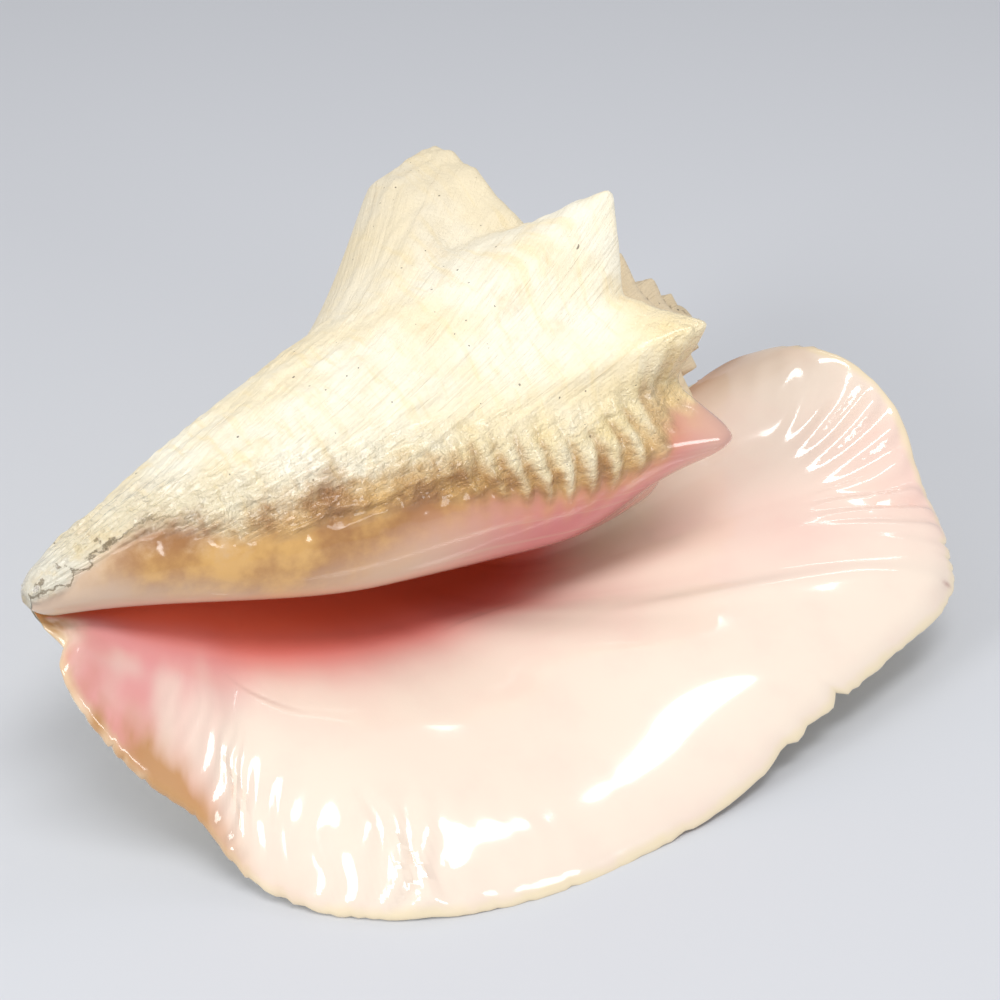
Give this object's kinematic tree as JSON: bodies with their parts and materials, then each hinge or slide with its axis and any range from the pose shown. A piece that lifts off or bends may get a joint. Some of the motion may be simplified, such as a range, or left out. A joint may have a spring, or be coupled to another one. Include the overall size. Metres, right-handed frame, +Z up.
{
  "type": "conch shell",
  "caption": "Large conch sea shell lying aperture up: knobbed whorls with a low spire, a wide thin flared lip, a glazed callus and a long slanting aperture.",
  "frame": {"origin": "middle of the bounding box at the height of the surface the shell lies on", "axes": "+X to the right as seen in the picture and along the shell's longest extent, +Y away from the viewer, +Z up"},
  "size_m": [0.2378, 0.1956, 0.1197],
  "materials": {
    "shell": "satin"
  },
  "bodies": {
    "root": {"conch_shell": "shell"}
  },
  "joints": []
}
